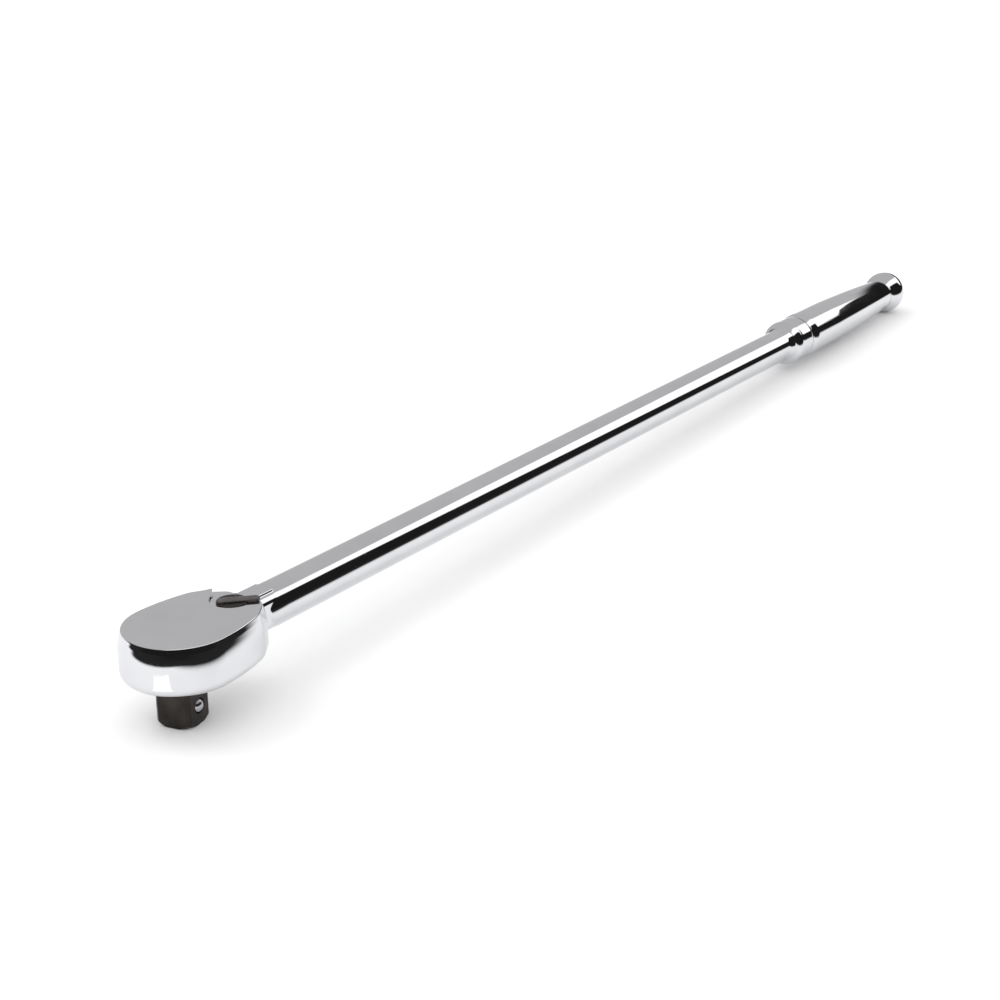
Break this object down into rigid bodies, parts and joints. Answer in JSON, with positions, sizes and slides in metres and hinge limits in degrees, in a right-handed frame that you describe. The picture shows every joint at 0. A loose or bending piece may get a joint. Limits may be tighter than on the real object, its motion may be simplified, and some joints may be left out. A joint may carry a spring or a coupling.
{
  "type": "long-handle ratchet",
  "caption": "Long-handle pear-head ratchet with a half-inch square drive, a reversing lever and a polished steel grip.",
  "frame": {"origin": "centre of the square drive's end face", "axes": "+X from the drive along the shaft to the ball end, +Z from the drive's end up to the head's top, along the drive's axis"},
  "size_m": [0.6099, 0.0388, 0.0355],
  "materials": {
    "polished_chrome": "mirror-polished chrome plate",
    "bright_steel": "ground bright steel",
    "dark_steel": "heat-treated, lightly oiled",
    "black_oxide": "satin black oxide",
    "seal_rubber": "matte nitrile"
  },
  "bodies": {
    "handle": {"handle_forging": "polished_chrome", "cover_plate": "polished_chrome", "cover_screws": "bright_steel", "drive_seal": "seal_rubber", "thrust_washer": "bright_steel", "pawl_pin": "bright_steel"},
    "drive": {"drive_gear": "black_oxide"},
    "detent": {"detent_ball": "bright_steel", "detent_spring": "bright_steel"},
    "lever": {"reversing_lever": "black_oxide", "lever_seal": "seal_rubber", "lever_clip": "bright_steel"},
    "plunger": {"pawl_plunger": "bright_steel", "plunger_spring": "bright_steel"},
    "pawl": {"pawl": "dark_steel"}
  },
  "joints": [
    {"name": "drive_spin", "type": "hinge", "parent": "handle", "child": "drive", "pos_m": [0, 0, 0.02], "axis": [0, 0, 1], "continuous": true},
    {"name": "detent_press", "type": "slide", "parent": "drive", "child": "detent", "axis": [-0.1959, 0.9806, 0], "range_m": [0, 0.00095], "stiffness_N_per_m": 600},
    {"name": "lever_swing", "type": "hinge", "parent": "handle", "child": "lever", "pos_m": [0.025, 0, 0.03], "axis": [0, 0, 1], "range_deg": [0, 86]},
    {"name": "pawl_rock", "type": "hinge", "parent": "handle", "child": "pawl", "pos_m": [0.0166, 0, 0.024], "axis": [0, 0, 1], "range_deg": [-12, 0]},
    {"name": "plunger_press", "type": "slide", "parent": "lever", "child": "plunger", "axis": [0.7314, -0.682, 0], "range_m": [0, 0.0005], "stiffness_N_per_m": 600}
  ],
  "couplings": [
    {"joint": "pawl_rock", "follows": "lever_swing", "ratio": -0.13953}
  ]
}
